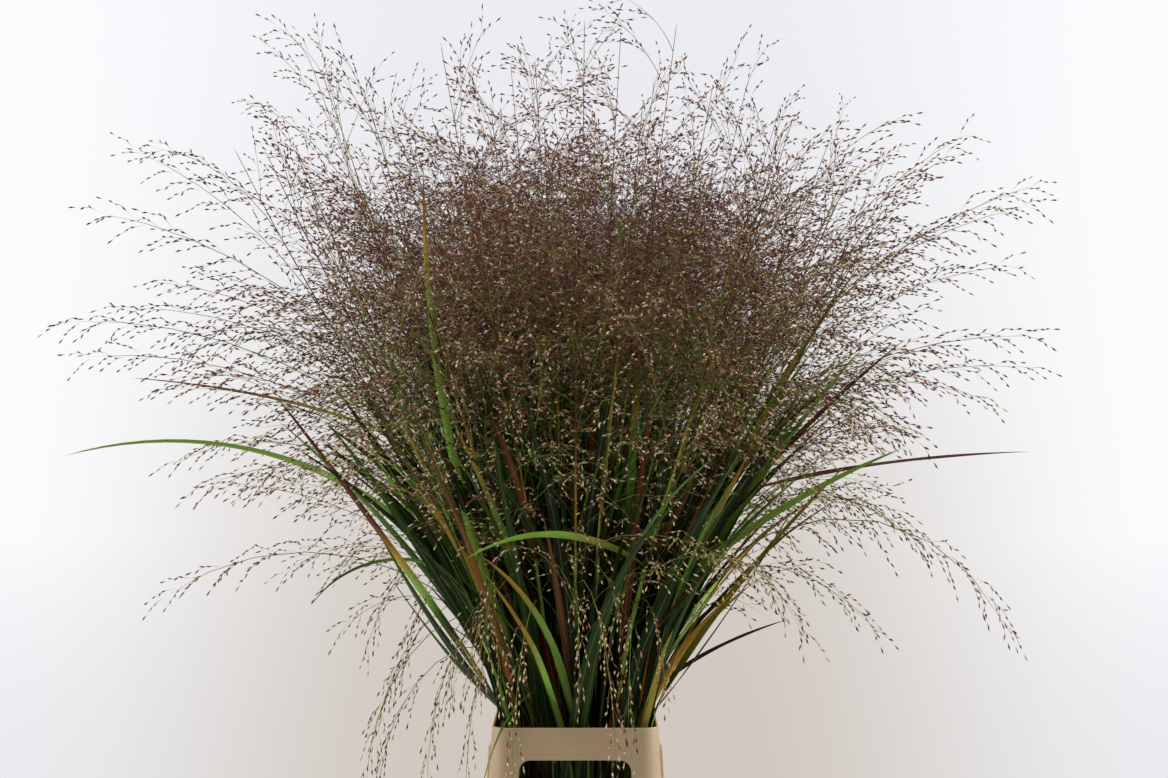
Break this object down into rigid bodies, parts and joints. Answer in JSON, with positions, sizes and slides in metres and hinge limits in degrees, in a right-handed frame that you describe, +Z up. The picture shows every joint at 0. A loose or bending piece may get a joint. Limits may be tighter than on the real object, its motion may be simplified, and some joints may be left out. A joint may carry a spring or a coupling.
{
  "type": "bunch of cut switchgrass in a flower bucket",
  "caption": "Tall bunch of switchgrass with open, airy panicles and arching leaves, standing in water in a rectangular bucket with a windowed collar.",
  "frame": {"origin": "middle of the bucket's flat underside", "axes": "+Z up, along the stems; X across the container's narrow side; Y along its long side, with -Y the side with the front window"},
  "size_m": [0.9034, 0.8701, 1.1096],
  "materials": {
    "grass": "satin",
    "collar_plastic": "matte",
    "bucket_plastic": "matte",
    "water": "clear"
  },
  "bodies": {
    "root": {"bucket": "bucket_plastic", "water": "water", "collar": "collar_plastic", "stem_01": "grass", "stem_02": "grass", "stem_03": "grass", "stem_04": "grass", "stem_05": "grass", "stem_06": "grass", "stem_07": "grass", "stem_08": "grass", "stem_09": "grass", "stem_10": "grass", "stem_11": "grass", "stem_12": "grass", "stem_13": "grass", "stem_14": "grass", "stem_15": "grass", "stem_16": "grass", "stem_17": "grass", "stem_18": "grass", "stem_19": "grass", "stem_20": "grass", "stem_21": "grass", "stem_22": "grass", "stem_23": "grass", "stem_24": "grass", "stem_25": "grass", "stem_26": "grass", "stem_27": "grass", "stem_28": "grass", "stem_29": "grass", "stem_30": "grass", "stem_31": "grass", "stem_32": "grass", "stem_33": "grass", "stem_34": "grass", "stem_35": "grass", "stem_36": "grass", "stem_37": "grass", "stem_38": "grass", "stem_39": "grass", "stem_40": "grass"}
  },
  "joints": []
}
